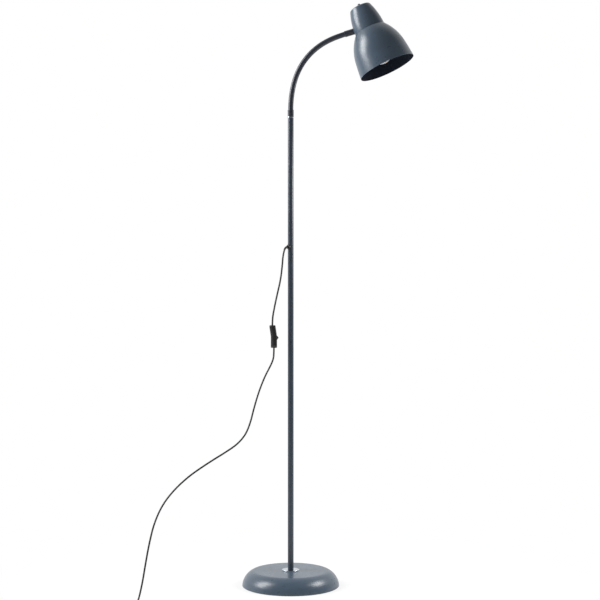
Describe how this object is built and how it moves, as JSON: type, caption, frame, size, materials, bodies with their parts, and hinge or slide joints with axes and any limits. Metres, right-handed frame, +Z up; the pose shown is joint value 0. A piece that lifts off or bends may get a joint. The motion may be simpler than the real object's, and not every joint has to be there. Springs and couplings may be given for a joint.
{
  "type": "gooseneck reading floor lamp",
  "caption": "Floor lamp with a round weighted base, a straight pole in sections, a flexible neck, a bell shade on a lampholder cup, and a mains lead with an inline switch.",
  "frame": {"origin": "centre of the base's underside, on the floor", "axes": "+Z up the pole, +X the way the neck leans out, with the neck and head in the XZ plane"},
  "size_m": [0.6373, 0.481, 1.4953],
  "materials": {
    "grey_lacquer": "satin grey lacquer, fine metallic",
    "neck_sleeve": "smooth satin grey sleeve",
    "grey_ferrule": "satin grey lacquer",
    "polished_ring": "polished",
    "satin_nut": "satin nickel",
    "cast_iron": "raw casting",
    "zinc_steel": "zinc plated",
    "foot_pad": "foam rubber pad",
    "black_plastic": "fine textured black",
    "black_rocker": "semi-gloss black",
    "grey_plastic": "fine textured dark grey",
    "holder_plastic": "moulded black",
    "lead_sheath": "smooth black sheath",
    "inner_lead": "white insulation",
    "tie_plastic": "black strip",
    "brass": "turned",
    "plated_pins": "nickel plated",
    "frosted_glass": "frosted white",
    "bulb_cap_metal": "rolled thread cap"
  },
  "bodies": {
    "stand": {"base_cover": "grey_lacquer", "base_weight": "cast_iron", "base_pad": "foot_pad", "foot_ring": "polished_ring", "foot_plug": "zinc_steel", "foot_stud": "zinc_steel", "lock_washer": "zinc_steel", "foot_nut": "zinc_steel", "pole_lower": "grey_lacquer", "pole_middle": "grey_lacquer", "pole_upper": "grey_lacquer", "pole_coupler_lower": "zinc_steel", "pole_coupler_upper": "zinc_steel", "pole_lead": "inner_lead", "cord_bush": "black_plastic", "neck_lower_ferrule": "grey_ferrule", "neck_root_link": "neck_sleeve", "neck_lead": "inner_lead", "switch_back": "grey_plastic", "switch_front": "black_plastic", "switch_terminals": "brass", "switch_screws": "plated_pins", "cord_upper": "lead_sheath", "cord_lower": "lead_sheath", "cord_coil": "lead_sheath", "cord_tie": "tie_plastic", "plug_body": "black_plastic", "plug_pins": "plated_pins"},
    "neck_01": {"neck_link_01": "neck_sleeve"},
    "neck_02": {"neck_link_02": "neck_sleeve"},
    "neck_03": {"neck_link_03": "neck_sleeve"},
    "neck_04": {"neck_link_04": "neck_sleeve"},
    "neck_05": {"neck_link_05": "neck_sleeve"},
    "neck_06": {"neck_link_06": "neck_sleeve"},
    "neck_07": {"neck_link_07": "neck_sleeve"},
    "neck_08": {"neck_link_08": "neck_sleeve"},
    "neck_09": {"neck_link_09": "neck_sleeve"},
    "neck_10": {"neck_link_10": "neck_sleeve"},
    "neck_11": {"neck_link_11": "neck_sleeve"},
    "head": {"neck_tip_link": "neck_sleeve", "neck_upper_ferrule": "grey_ferrule", "neck_nut": "zinc_steel", "socket_cup": "grey_lacquer", "shade": "grey_lacquer", "shade_ring": "holder_plastic", "lampholder_shell": "holder_plastic", "lampholder_core": "holder_plastic", "lampholder_contact": "brass", "lampholder_terminals": "brass", "lampholder_cap": "holder_plastic", "holder_stud": "zinc_steel", "holder_spacer": "zinc_steel", "finial_nut": "satin_nut", "head_lead": "inner_lead", "bulb_glass": "frosted_glass", "bulb_cap": "bulb_cap_metal", "bulb_tip": "brass"},
    "rocker": {"switch_rocker": "black_rocker"}
  },
  "joints": [
    {"name": "neck_bend_1", "type": "hinge", "parent": "stand", "child": "neck_01", "pos_m": [0, 0, 1.2388], "axis": [0, 1, 0], "range_deg": [-12.9, 14.1], "deforming": ["neck_lead"]},
    {"name": "neck_swing_1", "type": "hinge", "parent": "neck_01", "child": "neck_02", "pos_m": [0.00166, 0, 1.26034], "axis": [0.988, 0, -0.1547], "range_deg": [-12, 12]},
    {"name": "neck_bend_2", "type": "hinge", "parent": "neck_02", "child": "neck_03", "pos_m": [0.005, 0, 1.28168], "axis": [0, 1, 0], "range_deg": [-15.3, 11.7]},
    {"name": "neck_swing_2", "type": "hinge", "parent": "neck_03", "child": "neck_04", "pos_m": [0.01019, 0, 1.30264], "axis": [0.9385, 0, -0.3453], "range_deg": [-12, 12]},
    {"name": "neck_bend_3", "type": "hinge", "parent": "neck_04", "child": "neck_05", "pos_m": [0.01765, 0, 1.32292], "axis": [0, 1, 0], "range_deg": [-19.5, 7.5]},
    {"name": "neck_swing_3", "type": "hinge", "parent": "neck_05", "child": "neck_06", "pos_m": [0.02769, 0, 1.34204], "axis": [0.8121, 0, -0.5835], "range_deg": [-12, 12]},
    {"name": "neck_bend_4", "type": "hinge", "parent": "neck_06", "child": "neck_07", "pos_m": [0.04029, 0, 1.35958], "axis": [0, 1, 0], "range_deg": [-19.8, 7.2]},
    {"name": "neck_swing_4", "type": "hinge", "parent": "neck_07", "child": "neck_08", "pos_m": [0.05519, 0, 1.37522], "axis": [0.6225, 0, -0.7826], "range_deg": [-12, 12]},
    {"name": "neck_bend_5", "type": "hinge", "parent": "neck_08", "child": "neck_09", "pos_m": [0.07209, 0, 1.38867], "axis": [0, 1, 0], "range_deg": [-18.7, 8.3]},
    {"name": "neck_swing_5", "type": "hinge", "parent": "neck_09", "child": "neck_10", "pos_m": [0.09066, 0, 1.3997], "axis": [0.4035, 0, -0.915], "range_deg": [-12, 12]},
    {"name": "neck_bend_6", "type": "hinge", "parent": "neck_10", "child": "neck_11", "pos_m": [0.11043, 0, 1.40841], "axis": [0, 1, 0], "range_deg": [-13, 14]},
    {"name": "neck_swing_6", "type": "hinge", "parent": "neck_11", "child": "head", "pos_m": [0.13092, 0, 1.41523], "axis": [0.2554, 0, -0.9668], "range_deg": [-12, 12]},
    {"name": "rocker_tilt", "type": "hinge", "parent": "stand", "child": "rocker", "pos_m": [-0.03199, -0.0357, 0.6404], "axis": [-0.1908, 0.9816, 0], "range_deg": [0, 24]}
  ]
}
